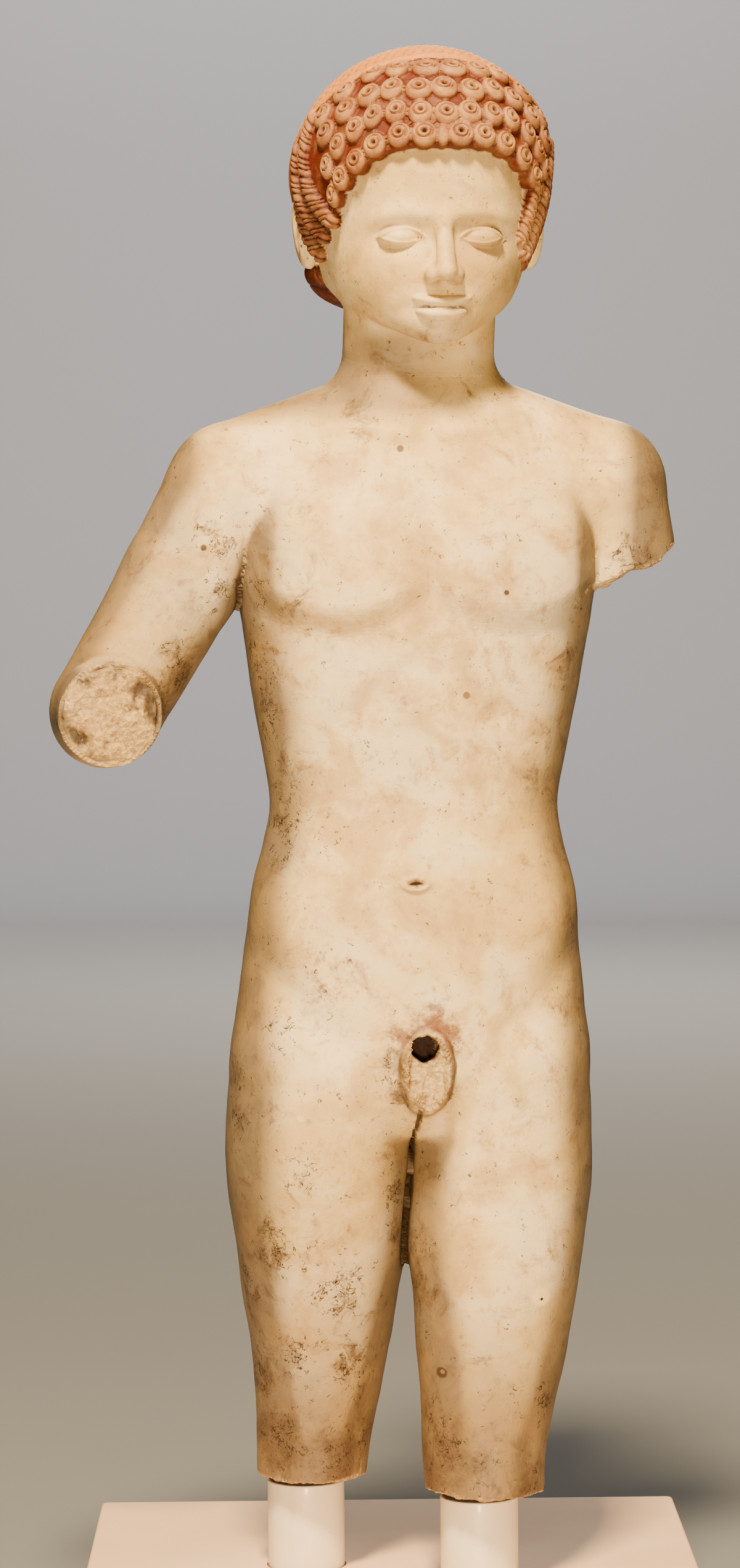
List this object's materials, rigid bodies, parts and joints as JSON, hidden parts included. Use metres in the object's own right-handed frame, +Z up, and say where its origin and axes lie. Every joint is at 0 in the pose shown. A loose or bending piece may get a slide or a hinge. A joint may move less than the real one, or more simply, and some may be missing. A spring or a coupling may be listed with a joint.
{
  "type": "kouros statuette",
  "caption": "Marble statuette of a striding nude youth with shell-curl hair, broken at the knees and arms, held on white rods in a low rectangular block.",
  "frame": {"origin": "centre of the block's underside, midway between the rods", "axes": "+Z up, the block's front edge and the youth face -Y, the youth turned 5.5 degrees towards +X"},
  "size_m": [0.2642, 0.278, 0.6682],
  "materials": {
    "marble": "worn marble with warm patina, root marks and traces of red pigment in the hair",
    "rod_enamel": "satin white enamel",
    "pad_rubber": "black matt",
    "base_paint": "matt cream paint"
  },
  "bodies": {
    "root": {"base": "base_paint", "rod_right_leg": "rod_enamel", "pad_right_leg": "pad_rubber", "rod_left_leg": "rod_enamel", "pad_left_leg": "pad_rubber", "figure": "marble"}
  },
  "joints": []
}
